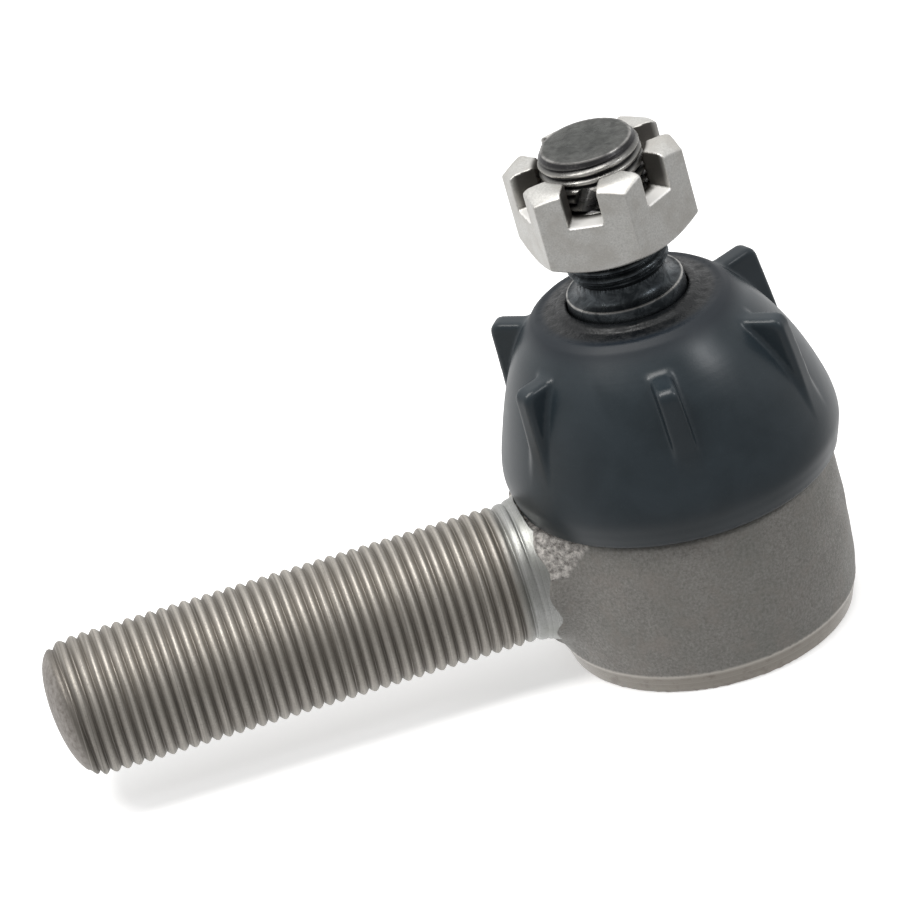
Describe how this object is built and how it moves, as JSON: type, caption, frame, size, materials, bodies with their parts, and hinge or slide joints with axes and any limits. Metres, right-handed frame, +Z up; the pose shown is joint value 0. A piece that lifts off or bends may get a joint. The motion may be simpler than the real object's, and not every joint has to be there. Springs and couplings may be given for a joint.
{
  "type": "tie rod end",
  "caption": "Outer tie rod end: forged socket with a threaded shank, a ball stud that swivels and rocks under a finned rubber dust boot, and a slotted nut.",
  "frame": {"origin": "centre of the socket's flat bottom face, on the closure plate", "axes": "+Z up the socket's axis towards the stud; the threaded shank points along -X; the stud leans 2.2 degrees towards -X at rest"},
  "size_m": [0.1299, 0.0528, 0.0852],
  "materials": {
    "forged_steel": "blasted forging, bare, with machined thread and collar",
    "plate_steel": "plain pressed steel",
    "bearing_steel": "ground",
    "spring_steel": "dark tempered",
    "bronze": "turned",
    "stud_steel": "dark, oily, turned",
    "nut_steel": "satin plated",
    "boot_rubber": "satin moulded",
    "seal_rubber": "matt"
  },
  "bodies": {
    "socket": {"socket_housing": "forged_steel", "closure_plate": "plate_steel", "plate_seal_ring": "seal_rubber", "disc_spring": "spring_steel"},
    "seats": {"lower_bearing": "bearing_steel", "upper_bearing": "bearing_steel", "dust_boot": "boot_rubber", "boot_base_ring": "plate_steel"},
    "half_ball": {"half_ball_bearing": "bearing_steel"},
    "stud": {"ball_stud": "stud_steel", "thrust_washer": "bronze"},
    "nut": {"slotted_nut": "nut_steel"}
  },
  "joints": [
    {"name": "tilt_direction", "type": "hinge", "parent": "socket", "child": "seats", "pos_m": [0, 0, 0.0183], "axis": [0, 0, 1], "continuous": true},
    {"name": "stud_tilt", "type": "hinge", "parent": "seats", "child": "half_ball", "pos_m": [0, 0, 0.0183], "axis": [0, 1, 0], "range_deg": [-18, 22], "deforming": ["dust_boot"]},
    {"name": "stud_spin", "type": "hinge", "parent": "half_ball", "child": "stud", "pos_m": [0, 0, 0.0183], "axis": [-0.0384, 0, 0.9993], "continuous": true},
    {"name": "nut_travel", "type": "slide", "parent": "stud", "child": "nut", "axis": [-0.0384, 0, 0.9993], "range_m": [-0.0075, 0.018]}
  ]
}
